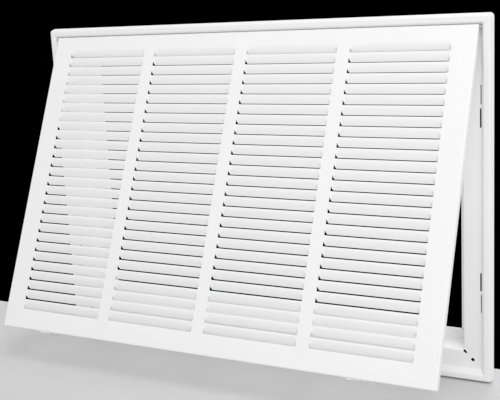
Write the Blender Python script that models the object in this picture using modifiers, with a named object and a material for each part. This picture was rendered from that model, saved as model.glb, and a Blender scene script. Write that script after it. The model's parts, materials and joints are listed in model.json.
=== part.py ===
"""Return air filter grille: a folded steel wall frame with a filter well, and a louvred
door that hangs on two pins at the top and is held shut by two sliding latches.

Metres, +Z up. The wall is the plane Y = 0 and the room is on the -Y side. The origin is
on the back of the mounting flange, at mid-width of the frame's bottom side. The door
stands open, as it does when a filter is changed.
"""

import math

import bmesh
import bpy
import numpy as np

# Frame, outside to inside. A depth is measured from the wall plane towards the room.
FRAME_WIDTH = 0.6763
FRAME_HEIGHT = 0.4731
FRAME_SHEET = 0.0009
RIM_HEIGHT = 0.0099
RIM_EDGE_LIFT = 0.0003
RIM_OUTER_RUN = 0.0026
CREST_INNER_EDGE = 0.0110
RAMP_RUN = 0.0044
FLANGE_WIDTH = 0.0239
WELL_DEPTH = 0.0416
LIP_WIDTH = 0.0141
CORNER_RADIUS = 0.0050
SHARP_CORNER_RADIUS = 0.0010
OUTER_BEND_RADIUS = 0.0025
CREST_BEND_RADIUS = 0.0035
FOLD_RADIUS = 0.0012
WELL_BEND_RADIUS = 0.0020
WALL_CORNER_GAP = 0.0006
RELIEF_DEGREES = (0, 100, 135, 170, 270)

# Holes in the frame.
SCREW_HOLE_DIAMETER = 0.0048
SIDE_SLOT_LENGTH = 0.0242
SIDE_SLOT_WIDE = 0.0022
SIDE_SLOT_NARROW = 0.0013
SIDE_SLOT_WIDE_FROM_END = 0.13095
SIDE_SLOT_NARROW_FROM_END = 0.10185
SIDE_SLOT_RISE = 0.0030

# Door, closed. s runs down its face from the hinge axis, and p from its face to the back.
DOOR_SHEET = 0.0008
DOOR_SIDE_CLEARANCE = 0.0010
DOOR_BOTTOM_CLEARANCE = 0.0056
DOOR_ABOVE_AXIS = 0.0028
DOOR_SEAT_GAP = 0.0004
TOP_RETURN_DEPTH = 0.0046
DOOR_BEND_RADIUS = 0.0015
EAR_CUT = 0.0031
HINGE_BELOW_FRAME_TOP = 0.0165
HINGE_BEHIND_FACE = 0.0028
DOOR_OPEN_ANGLE = math.radians(24.4)

# Louvres: lanced rows in columns, each blade formed inwards from the door's face.
COLUMNS = 4
COLUMN_GAP = 0.0175
SIDE_MARGIN = 0.0307
ROW_PITCH = 0.0140
FIRST_SLIT = 0.0291
LEAST_BOTTOM_MARGIN = 0.0265
SLIT_HEIGHT = 0.0019
BLADE_DEPTH = 0.0042
BLADE_TOP_DEPTH = 0.0012
CREST_RUN = 0.0016
END_BLEND = 0.0040
END_NOTCH_HEIGHT = 0.0050
END_NOTCH_WIDTH = 0.0020

# Hinge pins.
PIN_RADIUS = 0.0008
PIN_HEAD_RADIUS = 0.0013
PIN_HEAD_SETBACK = 0.0006
PIN_HEAD_THICKNESS = 0.0008
PIN_COLLAR_RADIUS = 0.0016
PIN_TAIL_LENGTH = 0.0008
DOME_SHARE = 0.8

# Latches: strips that slide along the underside of the door's bottom return.
LATCH_SHEET = 0.0008
LATCH_LENGTH = 0.0300
LATCH_BEHIND_BEND = 0.0001
LATCH_BACK_SETBACK = 0.0010
LATCH_TRAVEL = 0.0080
LATCH_INSET = 0.10615
LATCH_REST_SHIFT = -0.0070
LATCH_JOGGLE_DROP = 0.0012
LATCH_JOGGLE_RUN = 0.0008
THUMB_TAB_WIDTH = 0.0080
THUMB_TAB_DROP = 0.0014
NECK_SETBACK = 0.0045
TONGUE_NECK_WIDTH = 0.0065
TONGUE_HOOK_REACH = 0.0080
HOOK_WIDTH = 0.0022
LATCH_SLOT_CLEARANCE = 0.0010
RIVET_RADIUS = 0.0015
RIVET_HEAD_RADIUS = 0.0030
RIVET_HEAD_HEIGHT = 0.0008
RIVET_TAIL_RADIUS = 0.0022
RIVET_TAIL_HEIGHT = 0.0007
RIVET_SETBACK = 0.0030
RIVET_SPACING = 0.0080

# Clearances.
TOUCH_GAP = 0.0003
HOLE_CLEARANCE = 0.0002
HOOK_CLEARANCE = 0.00045

# Mesh fineness. RELIEF_DEGREES has one angle more than CORNER_STEPS.
CORNER_STEPS = 4
BEND_STEPS = 3
ROUND_STEPS = 24

# Places that follow from the sizes above.
FLANGE_START = CREST_INNER_EDGE + RAMP_RUN
WELL_INSET = FLANGE_START + FLANGE_WIDTH
CORNER_RELIEF = WELL_BEND_RADIUS + WALL_CORNER_GAP
FLANGE_MIDDLE = (FLANGE_START + WELL_INSET) / 2
FRAME_BOTTOM = -FLANGE_MIDDLE
FRAME_TOP = FRAME_BOTTOM + FRAME_HEIGHT
FRAME_MIDDLE_Z = (FRAME_BOTTOM + FRAME_TOP) / 2
AXIS_Y = HINGE_BEHIND_FACE - RIM_HEIGHT
AXIS_Z = FRAME_TOP - HINGE_BELOW_FRAME_TOP
RAMP_SLOPE = RAMP_RUN / (RIM_HEIGHT - FRAME_SHEET)
DOOR_WIDTH = FRAME_WIDTH - 2 * (FLANGE_START + DOOR_SIDE_CLEARANCE)
DOOR_BELOW_AXIS = FRAME_HEIGHT - HINGE_BELOW_FRAME_TOP - FLANGE_START - DOOR_BOTTOM_CLEARANCE
DOOR_RETURN_DEPTH = RIM_HEIGHT - FRAME_SHEET - DOOR_SEAT_GAP
COLUMN_WIDTH = (DOOR_WIDTH - 2 * SIDE_MARGIN - (COLUMNS - 1) * COLUMN_GAP) / COLUMNS
ROWS = 1 + int((DOOR_BELOW_AXIS - FIRST_SLIT - LEAST_BOTTOM_MARGIN) / ROW_PITCH)
LATCH_FRONT = DOOR_BEND_RADIUS + LATCH_BEHIND_BEND
LATCH_BACK = DOOR_RETURN_DEPTH - LATCH_BACK_SETBACK
NECK_END = LATCH_LENGTH / 2 - NECK_SETBACK
TONGUE_START = NECK_END - TONGUE_NECK_WIDTH
LAST_RIVET = LATCH_LENGTH / 2 - RIVET_SETBACK
RIVET_OFFSETS = (LAST_RIVET - RIVET_SPACING, LAST_RIVET)
LATCH_TOP_S = DOOR_BELOW_AXIS + TOUCH_GAP
TONGUE_TOP_S = LATCH_TOP_S + LATCH_JOGGLE_DROP
LATCH_SLOT_TOP = AXIS_Z - TONGUE_TOP_S + TOUCH_GAP
LATCH_SLOT_BOTTOM = AXIS_Z - TONGUE_TOP_S - LATCH_SHEET - TOUCH_GAP
NECK_END_P = RIM_HEIGHT + HOOK_CLEARANCE


def clear_scene():
    for thing in list(bpy.data.objects):
        bpy.data.objects.remove(thing, do_unlink=True)


def new_collection(name):
    collection = bpy.data.collections.new(name)
    bpy.context.scene.collection.children.link(collection)
    return collection


def new_material(name, colour, roughness, metallic):
    material = bpy.data.materials.new(name)
    material.use_nodes = True
    shader = material.node_tree.nodes["Principled BSDF"]
    shader.inputs["Base Color"].default_value = (*colour, 1.0)
    shader.inputs["Roughness"].default_value = roughness
    shader.inputs["Metallic"].default_value = metallic
    return material


def object_from_bmesh(name, mesh_data, collection, material=None):
    mesh = bpy.data.meshes.new(name)
    mesh_data.to_mesh(mesh)
    mesh_data.free()
    thing = bpy.data.objects.new(name, mesh)
    collection.objects.link(thing)
    if material:
        mesh.materials.append(material)
    return thing


def make_cutter(name, mesh_data, cutters):
    """A hidden solid for a Boolean."""
    bmesh.ops.recalc_face_normals(mesh_data, faces=mesh_data.faces)
    cutter = object_from_bmesh(name, mesh_data, cutters)
    cutter.hide_render = True
    cutter.display_type = "WIRE"
    return cutter


def box_cutter(name, low, high, cutters):
    low, high = np.array(low), np.array(high)
    mesh_data = bmesh.new()
    bmesh.ops.create_cube(mesh_data, size=1.0)
    bmesh.ops.scale(mesh_data, vec=high - low, verts=mesh_data.verts)
    bmesh.ops.translate(mesh_data, vec=(low + high) / 2, verts=mesh_data.verts)
    return make_cutter(name, mesh_data, cutters)


def rod_cutter(name, centre, axis, radius, length, cutters):
    """A cylinder along X, Y or Z."""
    mesh_data = bmesh.new()
    bmesh.ops.create_cone(
        mesh_data, cap_ends=True, segments=ROUND_STEPS, radius1=radius, radius2=radius, depth=length
    )
    turn = {"X": (0.0, math.pi / 2, 0.0), "Y": (math.pi / 2, 0.0, 0.0), "Z": (0.0, 0.0, 0.0)}[axis]
    cutter = make_cutter(name, mesh_data, cutters)
    cutter.location = centre
    cutter.rotation_euler = turn
    return cutter


def cut(thing, cutters_used, cutters):
    """Takes all of these cutters away at once. They get a collection of their own."""
    group = bpy.data.collections.new(thing.name + " cutters")
    cutters.children.link(group)
    for cutter in cutters_used:
        group.objects.link(cutter)
        cutters.objects.unlink(cutter)
    modifier = thing.modifiers.new("cuts", "BOOLEAN")
    modifier.operation = "DIFFERENCE"
    modifier.operand_type = "COLLECTION"
    modifier.collection = group


def thicken(thing, thickness, offset):
    modifier = thing.modifiers.new("sheet", "SOLIDIFY")
    modifier.thickness = thickness
    modifier.offset = offset
    modifier.use_even_offset = True


def folded_profile(corners, radii, steps):
    """The corners joined by straight runs, each inner corner rounded by an arc of its radius."""
    corners = [np.array(corner, float) for corner in corners]
    points = [corners[0]]
    for before, corner, after, radius in zip(corners, corners[1:], corners[2:], radii):
        toward = (before - corner) / np.linalg.norm(before - corner)
        away = (after - corner) / np.linalg.norm(after - corner)
        half_angle = math.acos(float(np.clip(toward @ away, -1, 1))) / 2
        reach = radius / math.tan(half_angle)
        middle = (toward + away) / np.linalg.norm(toward + away)
        centre = corner + middle * radius / math.sin(half_angle)
        start = corner + toward * reach - centre
        swing = math.pi - 2 * half_angle
        turn = math.copysign(1.0, start[1] * toward[0] - start[0] * toward[1])
        for step in range(steps + 1):
            angle = turn * swing * step / steps
            cosine, sine = math.cos(angle), math.sin(angle)
            turned = np.array([start[0] * cosine - start[1] * sine, start[0] * sine + start[1] * cosine])
            points.append(centre + turned)
    points.append(corners[-1])
    return points


def frame_ring(inset, height, relief=None):
    """One closed line round the frame: a rounded rectangle, anticlockwise from the room.

    With a relief, each corner is a bite of that radius out of the flange."""
    half_width = FRAME_WIDTH / 2 - inset
    half_height = FRAME_HEIGHT / 2 - inset
    radius = max(CORNER_RADIUS - inset, SHARP_CORNER_RADIUS)
    points = []
    for quarter, (sign_x, sign_z) in enumerate(((-1, -1), (1, -1), (1, 1), (-1, 1))):
        corner = np.array([sign_x * half_width, sign_z * half_height])
        for step in range(CORNER_STEPS + 1):
            if relief:
                angle = math.radians(90 + 90 * quarter + RELIEF_DEGREES[step])
                point = corner + relief * np.array([math.cos(angle), math.sin(angle)])
            else:
                angle = math.radians(180 + 90 * quarter + 90 * step / CORNER_STEPS)
                centre = corner - radius * np.array([sign_x, sign_z])
                point = centre + radius * np.array([math.cos(angle), math.sin(angle)])
            points.append((point[0], -height, FRAME_MIDDLE_Z + point[1]))
    return points


def frame_side_flap(mesh_data, base_start, base_end, along, inward, profile):
    """A well wall and its lip: the folded profile carried along one side of the opening."""
    first_inset, first_height = profile[0]
    previous = (base_start, base_end)
    for inset, height in profile[1:]:
        lip_run = max(0.0, inset - WELL_INSET)
        shift = np.array(inward) * (inset - first_inset)
        drop = np.array([0.0, -(height - first_height), 0.0])
        trim = np.array(along) * lip_run
        start = mesh_data.verts.new(np.array(base_start.co) + shift + drop + trim)
        end = mesh_data.verts.new(np.array(base_end.co) + shift + drop - trim)
        mesh_data.faces.new((previous[0], previous[1], end, start))
        previous = (start, end)


def make_frame(parts, cutters, material):
    """The frame is one sheet: raised rim, mounting flange, and a well folded back with lips."""
    flange_height = FRAME_SHEET
    lip_height = FRAME_SHEET - WELL_DEPTH
    outline = folded_profile(
        [
            (0.0, RIM_EDGE_LIFT),
            (RIM_OUTER_RUN, RIM_HEIGHT),
            (CREST_INNER_EDGE, RIM_HEIGHT),
            (FLANGE_START, flange_height),
            (WELL_INSET, flange_height),
            (WELL_INSET, lip_height),
            (WELL_INSET + LIP_WIDTH, lip_height),
        ],
        [OUTER_BEND_RADIUS, CREST_BEND_RADIUS, FOLD_RADIUS, WELL_BEND_RADIUS, FOLD_RADIUS],
        BEND_STEPS,
    )
    ring_count = 1 + 3 * (BEND_STEPS + 1) + 1
    mesh_data = bmesh.new()
    rings = []
    for index, (inset, height) in enumerate(outline[:ring_count]):
        relief = CORNER_RELIEF if index == ring_count - 1 else None
        rings.append([mesh_data.verts.new(point) for point in frame_ring(inset, height, relief)])
    for outer, inner in zip(rings, rings[1:]):
        for index in range(len(outer)):
            following = (index + 1) % len(outer)
            mesh_data.faces.new((outer[index], outer[following], inner[following], inner[index]))
    per_corner = CORNER_STEPS + 1
    flat_seams = []
    for number, (foot, relief) in enumerate(zip(rings[-2], rings[-1])):
        if 0 < number % per_corner < CORNER_STEPS:
            flat_seams.append(mesh_data.edges.get((foot, relief)))
    bmesh.ops.dissolve_edges(mesh_data, edges=flat_seams, use_verts=False)
    directions = (
        ((1, 0, 0), (0, 0, 1)),
        ((0, 0, 1), (-1, 0, 0)),
        ((-1, 0, 0), (0, 0, -1)),
        ((0, 0, -1), (1, 0, 0)),
    )
    for side, (along, inward) in enumerate(directions):
        base_start = rings[-1][side * per_corner + CORNER_STEPS]
        base_end = rings[-1][(side + 1) * per_corner % len(rings[-1])]
        frame_side_flap(mesh_data, base_start, base_end, along, inward, outline[ring_count - 1 :])
    frame = object_from_bmesh("outer_frame", mesh_data, parts, material)
    thicken(frame, FRAME_SHEET, -1.0)
    cut(frame, frame_cutters(cutters), cutters)
    return frame


def frame_cutters(cutters):
    """Screw holes in the flange, slots at the rim's foot, latch slots and hinge pin holes."""
    made = []
    half_width = FRAME_WIDTH / 2
    through = 4 * FRAME_SHEET
    for side_x in (-1, 1):
        side_name = "left" if side_x < 0 else "right"
        for name, z in (
            ("lower", FRAME_BOTTOM + FLANGE_MIDDLE),
            ("upper", FRAME_TOP - FLANGE_MIDDLE),
        ):
            centre = (side_x * (half_width - FLANGE_MIDDLE), -FRAME_SHEET / 2, z)
            hole = rod_cutter(
                f"screw_hole_{side_name}_{name}", centre, "Y", SCREW_HOLE_DIAMETER / 2, through, cutters
            )
            made.append(hole)
        for kind, width, from_end in (
            ("wide", SIDE_SLOT_WIDE, SIDE_SLOT_WIDE_FROM_END),
            ("narrow", SIDE_SLOT_NARROW, SIDE_SLOT_NARROW_FROM_END),
        ):
            for end, level in (("lower", FRAME_BOTTOM + from_end), ("upper", FRAME_TOP - from_end)):
                z = level + SIDE_SLOT_RISE
                outer_x = side_x * (half_width - FLANGE_START)
                inner_x = side_x * (half_width - FLANGE_START - width)
                low = (min(outer_x, inner_x), -through, z - SIDE_SLOT_LENGTH / 2)
                high = (max(outer_x, inner_x), through, z + SIDE_SLOT_LENGTH / 2)
                made.append(box_cutter(f"slot_{side_name}_{end}_{kind}", low, high, cutters))
        slot_start = latch_rest_x(side_x) + TONGUE_START - LATCH_SLOT_CLEARANCE
        reach = NECK_END + max(TONGUE_HOOK_REACH, LATCH_TRAVEL)
        slot_end = latch_rest_x(side_x) + reach + LATCH_SLOT_CLEARANCE
        low = (slot_start, -through, LATCH_SLOT_BOTTOM)
        high = (slot_end, through, LATCH_SLOT_TOP)
        made.append(box_cutter(f"latch_slot_{side_name}", low, high, cutters))
        hole_x = side_x * (half_width - CREST_INNER_EDGE)
        hole = rod_cutter(
            f"pin_hole_{side_name}",
            (hole_x, AXIS_Y, AXIS_Z),
            "X",
            PIN_RADIUS + HOLE_CLEARANCE,
            2 * RAMP_RUN,
            cutters,
        )
        made.append(hole)
    return made


def column_edges():
    """The left and right edge of each column of louvres."""
    lefts = [
        SIDE_MARGIN - DOOR_WIDTH / 2 + index * (COLUMN_WIDTH + COLUMN_GAP) for index in range(COLUMNS)
    ]
    return [(left, left + COLUMN_WIDTH) for left in lefts]


def door_levels_across():
    """Grid lines from left to right: (x, depth behind the face, share of the blade's form)."""
    half = DOOR_WIDTH / 2
    levels = [(-half, DOOR_RETURN_DEPTH, 0), (-half, DOOR_BEND_RADIUS, 0), (DOOR_BEND_RADIUS - half, 0, 0)]
    for left, right in column_edges():
        levels += [(left, 0, 0), (left + END_BLEND, 0, 1), (right - END_BLEND, 0, 1), (right, 0, 0)]
    levels += [(half - DOOR_BEND_RADIUS, 0, 0), (half, DOOR_BEND_RADIUS, 0), (half, DOOR_RETURN_DEPTH, 0)]
    return levels


def door_levels_down():
    """Grid lines from top to bottom: (s, depth behind the face, depth of a blade there, kind)."""
    top = -DOOR_ABOVE_AXIS
    bottom = DOOR_BELOW_AXIS
    half_slit = SLIT_HEIGHT / 2
    levels = [(top, TOP_RETURN_DEPTH, 0, "return"), (top, DOOR_BEND_RADIUS, 0, "bend")]
    levels += [(top + DOOR_BEND_RADIUS, 0, 0, "margin")]
    start = FIRST_SLIT - ROW_PITCH + half_slit + CREST_RUN
    levels.append((start, 0, 0, "crest"))
    for row in range(ROWS):
        slit = FIRST_SLIT + row * ROW_PITCH
        crest = slit - ROW_PITCH + half_slit + CREST_RUN
        lower = slit - half_slit
        notch = lower - END_NOTCH_HEIGHT
        slope = BLADE_DEPTH / (lower - crest)
        levels += [
            (notch, 0, slope * (notch - crest), "notch"),
            (lower, 0, BLADE_DEPTH, "lower"),
            (slit + half_slit, 0, BLADE_TOP_DEPTH, "top"),
            (slit + half_slit + CREST_RUN, 0, 0, "crest"),
        ]
    levels += [(bottom - DOOR_BEND_RADIUS, 0, 0, "margin"), (bottom, DOOR_BEND_RADIUS, 0, "bend")]
    levels += [(bottom, DOOR_RETURN_DEPTH, 0, "return")]
    return levels


def split_notch(mesh_data, face, place, across):
    """Cuts the cell at a blade's end from its upper outer to its lower inner corner.

    It returns the outer half, which is the open notch beside the blade."""
    corner = {place[vert]: vert for vert in face.verts}
    upper = min(j for _, j in corner)
    outer, inner = sorted({i for i, _ in corner}, key=lambda i: across[i][2])
    pair = (corner[(outer, upper)], corner[(inner, upper + 1)])
    bmesh.utils.face_split(face, *pair)
    open_corner = corner[(outer, upper + 1)]
    return next(half for half in mesh_data.edges.get(pair).link_faces if open_corner in half.verts)


def door_mesh():
    """The door's sheet as one grid, bent at its edges and lanced at its louvres."""
    across = door_levels_across()
    down = door_levels_down()
    kinds = [level[3] for level in down]
    column_count, row_count = len(across), len(down)
    mesh_data = bmesh.new()
    bmesh.ops.create_grid(
        mesh_data, x_segments=column_count - 1, y_segments=row_count - 1, size=1.0
    )
    mesh_data.verts.ensure_lookup_table()
    ordered = sorted(mesh_data.verts, key=lambda vert: (-round(vert.co.y, 5), round(vert.co.x, 5)))
    place = {}
    for number, vert in enumerate(ordered):
        i, j = number % column_count, number // column_count
        x, side_depth, share = across[i]
        s, end_depth, blade_depth, kind = down[j]
        if kind == "lower" and share:
            x += (END_NOTCH_WIDTH - END_BLEND) * (1 if across[i - 1][2] == 0 else -1)
        depth = max(side_depth, end_depth) + share * blade_depth
        on_side_rear = i in (0, column_count - 1)
        if on_side_rear and j in (1, 2):
            s += EAR_CUT
        vert.co = (x, depth - HINGE_BEHIND_FACE, -s)
        place[vert] = (i, j)

    removed = []
    for face in list(mesh_data.faces):
        i = min(place[vert][0] for vert in face.verts)
        j = min(place[vert][1] for vert in face.verts)
        on_side_return = i in (0, column_count - 2)
        on_side_bend = i in (1, column_count - 3)
        on_end_return = kinds[j] == "return" or kinds[j + 1] == "return"
        on_lower_bend = kinds[j] == "margin" and kinds[j + 1] == "bend"
        in_column = 3 <= i <= column_count - 5 and (i - 3) % 4 != 3
        at_column_end = in_column and (i - 3) % 4 != 1
        if (on_side_return or on_side_bend) and on_end_return:
            removed.append(face)
        elif on_side_return and on_lower_bend:
            removed.append(face)
        elif in_column and kinds[j] == "lower":
            removed.append(face)
        elif at_column_end and kinds[j] == "notch":
            removed.append(split_notch(mesh_data, face, place, across))
    bmesh.ops.delete(mesh_data, geom=removed, context="FACES")

    first, last = kinds.index("crest"), row_count - 1 - kinds[::-1].index("crest")
    idle = []
    for edge in mesh_data.edges:
        (i, j), (k, l) = place[edge.verts[0]], place[edge.verts[1]]
        beside_columns = max(i, k) <= 3 or min(i, k) >= column_count - 4
        if j == l and first <= j <= last and beside_columns:
            idle.append(edge)
    bmesh.ops.dissolve_edges(mesh_data, edges=idle, use_verts=True)
    bmesh.ops.recalc_face_normals(mesh_data, faces=mesh_data.faces)
    widest = max(mesh_data.faces, key=lambda face: face.calc_area())
    if widest.normal.y > 0:
        bmesh.ops.reverse_faces(mesh_data, faces=mesh_data.faces)
    return mesh_data


def make_door(parts, cutters, carrier, material):
    """One sheet with lanced louvres and folded returns, placed about the hinge axis."""
    door = object_from_bmesh("door_panel", door_mesh(), parts, material)
    door.parent = carrier
    thicken(door, DOOR_SHEET, -1.0)
    used = []
    for side_x, side_name in ((-1, "left"), (1, "right")):
        x = side_x * DOOR_WIDTH / 2
        radius = PIN_RADIUS + HOLE_CLEARANCE
        hole = rod_cutter(f"door_pin_hole_{side_name}", (x, 0, 0), "X", radius, 4 * DOOR_SHEET, cutters)
        used.append(hole)
        for offset in RIVET_OFFSETS:
            centre = (latch_rest_x(side_x) + offset, rivet_line_y(), -DOOR_BELOW_AXIS)
            name = f"rivet_hole_{side_name}_{round(offset * 1000)}"
            radius = RIVET_RADIUS + HOLE_CLEARANCE
            used.append(rod_cutter(name, centre, "Z", radius, 4 * DOOR_SHEET, cutters))
    for cutter in used:
        cutter.parent = carrier
    cut(door, used, cutters)
    return door


def turned(name, profile, parts, material):
    """A solid of revolution about Z from a list of (radius, z), top to bottom."""
    mesh_data = bmesh.new()
    verts = [mesh_data.verts.new((radius, 0.0, z)) for radius, z in profile]
    for one, two in zip(verts, verts[1:]):
        mesh_data.edges.new((one, two))
    thing = object_from_bmesh(name, mesh_data, parts, material)
    screw = thing.modifiers.new("turn", "SCREW")
    screw.steps = ROUND_STEPS
    screw.render_steps = ROUND_STEPS
    screw.use_merge_vertices = True
    screw.merge_threshold = 0.00001
    screw.use_smooth_shade = True
    return thing


def make_hinge_pin(side_x, side_name, parts, material):
    """Head inside the door's side return, spacer collar outside it, tail behind the rim."""
    return_inner = DOOR_WIDTH / 2 - DOOR_SHEET
    head_end = return_inner - PIN_HEAD_SETBACK
    head_start = head_end - PIN_HEAD_THICKNESS
    collar_start = DOOR_WIDTH / 2 + TOUCH_GAP
    ramp_x = FRAME_WIDTH / 2 - CREST_INNER_EDGE - RAMP_SLOPE * HINGE_BEHIND_FACE
    collar_end = ramp_x - RAMP_SLOPE * PIN_COLLAR_RADIUS - TOUCH_GAP
    ramp_back_x = ramp_x + FRAME_SHEET * math.hypot(1.0, RAMP_SLOPE)
    tail_start = ramp_back_x + RAMP_SLOPE * PIN_HEAD_RADIUS + TOUCH_GAP
    tail_end = tail_start + PIN_TAIL_LENGTH
    profile = [
        (0.0, tail_end),
        (PIN_HEAD_RADIUS, tail_end),
        (PIN_HEAD_RADIUS, tail_start),
        (PIN_RADIUS, tail_start),
        (PIN_RADIUS, collar_end),
        (PIN_COLLAR_RADIUS, collar_end),
        (PIN_COLLAR_RADIUS, collar_start),
        (PIN_RADIUS, collar_start),
        (PIN_RADIUS, head_end),
        (PIN_HEAD_RADIUS, head_end),
        (DOME_SHARE * PIN_HEAD_RADIUS, head_start),
        (0.0, head_start),
    ]
    pin = turned(f"hinge_pin_{side_name}", profile, parts, material)
    pin.location = (0.0, AXIS_Y, AXIS_Z)
    pin.rotation_euler = (0.0, side_x * math.pi / 2, 0.0)
    return pin


def latch_rest_x(side_x):
    """Middle of a latch strip with the latch slid clear of the frame."""
    return side_x * (FRAME_WIDTH / 2 - LATCH_INSET) + LATCH_REST_SHIFT


def rivet_line_y():
    return (LATCH_FRONT + LATCH_BACK) / 2 - HINGE_BEHIND_FACE


def latch_mesh():
    """Folded strip: thumb tab at its front, joggled tongue with a hook at its back."""
    half = LATCH_LENGTH / 2
    hook_end = NECK_END + TONGUE_HOOK_REACH
    across = [-half, THUMB_TAB_WIDTH - half, TONGUE_START, NECK_END, half, hook_end]
    joggle_end = LATCH_BACK + LATCH_JOGGLE_RUN
    down = [
        (LATCH_FRONT, THUMB_TAB_DROP),
        (LATCH_FRONT, 0.0),
        (LATCH_BACK, 0.0),
        (joggle_end, LATCH_JOGGLE_DROP),
        (NECK_END_P, LATCH_JOGGLE_DROP),
        (NECK_END_P + HOOK_WIDTH, LATCH_JOGGLE_DROP),
    ]
    kept = {0: range(0, 1), 1: range(0, 4), 2: range(2, 3), 3: range(2, 3), 4: range(2, 5)}
    mesh_data = bmesh.new()
    bmesh.ops.create_grid(
        mesh_data, x_segments=len(across) - 1, y_segments=len(down) - 1, size=1.0
    )
    ordered = sorted(mesh_data.verts, key=lambda vert: (round(vert.co.y, 5), round(vert.co.x, 5)))
    place = {}
    for number, vert in enumerate(ordered):
        i, j = number % len(across), number // len(across)
        depth, drop = down[j]
        vert.co = (across[i], depth - HINGE_BEHIND_FACE, -LATCH_TOP_S - drop)
        place[vert] = (i, j)
    removed = []
    for face in mesh_data.faces:
        i = min(place[vert][0] for vert in face.verts)
        j = min(place[vert][1] for vert in face.verts)
        if i not in kept[j]:
            removed.append(face)
    bmesh.ops.delete(mesh_data, geom=removed, context="FACES")
    bmesh.ops.recalc_face_normals(mesh_data, faces=mesh_data.faces)
    widest = max(mesh_data.faces, key=lambda face: face.calc_area())
    if widest.normal.z < 0:
        bmesh.ops.reverse_faces(mesh_data, faces=mesh_data.faces)
    return mesh_data


def rivet_slot_cutter(side_name, middle_x, carrier, cutters):
    """A round-ended slot that lets the strip slide by its travel on both rivets."""
    radius = RIVET_RADIUS + TOUCH_GAP
    start = middle_x + RIVET_OFFSETS[0] - LATCH_TRAVEL
    end = middle_x + RIVET_OFFSETS[1]
    mesh_data = bmesh.new()
    steps = ROUND_STEPS // 2
    outline = []
    for centre, first_angle in ((end, -math.pi / 2), (start, math.pi / 2)):
        for step in range(steps + 1):
            angle = first_angle + math.pi * step / steps
            point = (centre + radius * math.cos(angle), rivet_line_y() + radius * math.sin(angle))
            outline.append(mesh_data.verts.new((*point, -LATCH_TOP_S - 2 * LATCH_SHEET)))
    face = mesh_data.faces.new(outline)
    extruded = bmesh.ops.extrude_face_region(mesh_data, geom=[face])
    top = [item for item in extruded["geom"] if isinstance(item, bmesh.types.BMVert)]
    bmesh.ops.translate(mesh_data, vec=(0, 0, 3 * LATCH_SHEET), verts=top)
    cutter = make_cutter(f"rivet_slot_{side_name}", mesh_data, cutters)
    cutter.parent = carrier
    return cutter


def make_latch(side_x, side_name, parts, cutters, carrier, material):
    latch = object_from_bmesh(f"latch_{side_name}", latch_mesh(), parts, material)
    latch.parent = carrier
    latch.location = (latch_rest_x(side_x), 0.0, 0.0)
    thicken(latch, LATCH_SHEET, -1.0)
    slot = rivet_slot_cutter(side_name, latch_rest_x(side_x), carrier, cutters)
    cut(latch, [slot], cutters)
    return latch


def make_rivet(name, x, parts, carrier, material):
    """Shouldered rivet: tail above the bottom return, head below the latch strip."""
    strip_bottom = -LATCH_TOP_S - LATCH_SHEET
    head_top = strip_bottom - TOUCH_GAP
    head_bottom = head_top - RIVET_HEAD_HEIGHT
    tail_bottom = -DOOR_BELOW_AXIS + DOOR_SHEET + TOUCH_GAP
    tail_top = tail_bottom + RIVET_TAIL_HEIGHT
    profile = [
        (0.0, tail_top),
        (RIVET_TAIL_RADIUS, tail_top),
        (RIVET_TAIL_RADIUS, tail_bottom),
        (RIVET_RADIUS, tail_bottom),
        (RIVET_RADIUS, head_top),
        (RIVET_HEAD_RADIUS, head_top),
        (DOME_SHARE * RIVET_HEAD_RADIUS, head_bottom),
        (0.0, head_bottom),
    ]
    rivet = turned(name, profile, parts, material)
    rivet.parent = carrier
    rivet.location = (x, rivet_line_y(), 0.0)
    return rivet


def main():
    clear_scene()
    parts = new_collection("return_air_filter_grille")
    cutters = new_collection("cutters")
    white = new_material("white powder coat", (0.84, 0.84, 0.84), 0.42, 0.0)
    door_white = new_material("white powder coat, door", (0.84, 0.84, 0.84), 0.42, 0.0)
    steel = new_material("plated steel", (0.62, 0.62, 0.60), 0.30, 1.0)
    latch_white = new_material("white powder coat, latch", (0.80, 0.80, 0.80), 0.45, 0.0)

    carrier = bpy.data.objects.new("door_hinge_axis", None)
    parts.objects.link(carrier)
    carrier.location = (0.0, AXIS_Y, AXIS_Z)
    carrier.rotation_euler = (-DOOR_OPEN_ANGLE, 0.0, 0.0)

    make_frame(parts, cutters, white)
    make_door(parts, cutters, carrier, door_white)
    for side_x, side_name in ((-1, "left"), (1, "right")):
        make_hinge_pin(side_x, side_name, parts, steel)
        make_latch(side_x, side_name, parts, cutters, carrier, latch_white)
        for number, offset in enumerate(RIVET_OFFSETS, start=1):
            x = latch_rest_x(side_x) + offset
            make_rivet(f"latch_rivet_{side_name}_{number}", x, parts, carrier, steel)


main()
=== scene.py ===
"""Finished looks of a louvred return air filter grille, laid out as a Blender add-on.

Metres, +Z up. The wall is the plane Y = 0 and the room is on the -Y side. Each operator
builds one piece, or a group of like pieces, from the sizes in the property groups below.
"""

import json
import math

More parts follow.
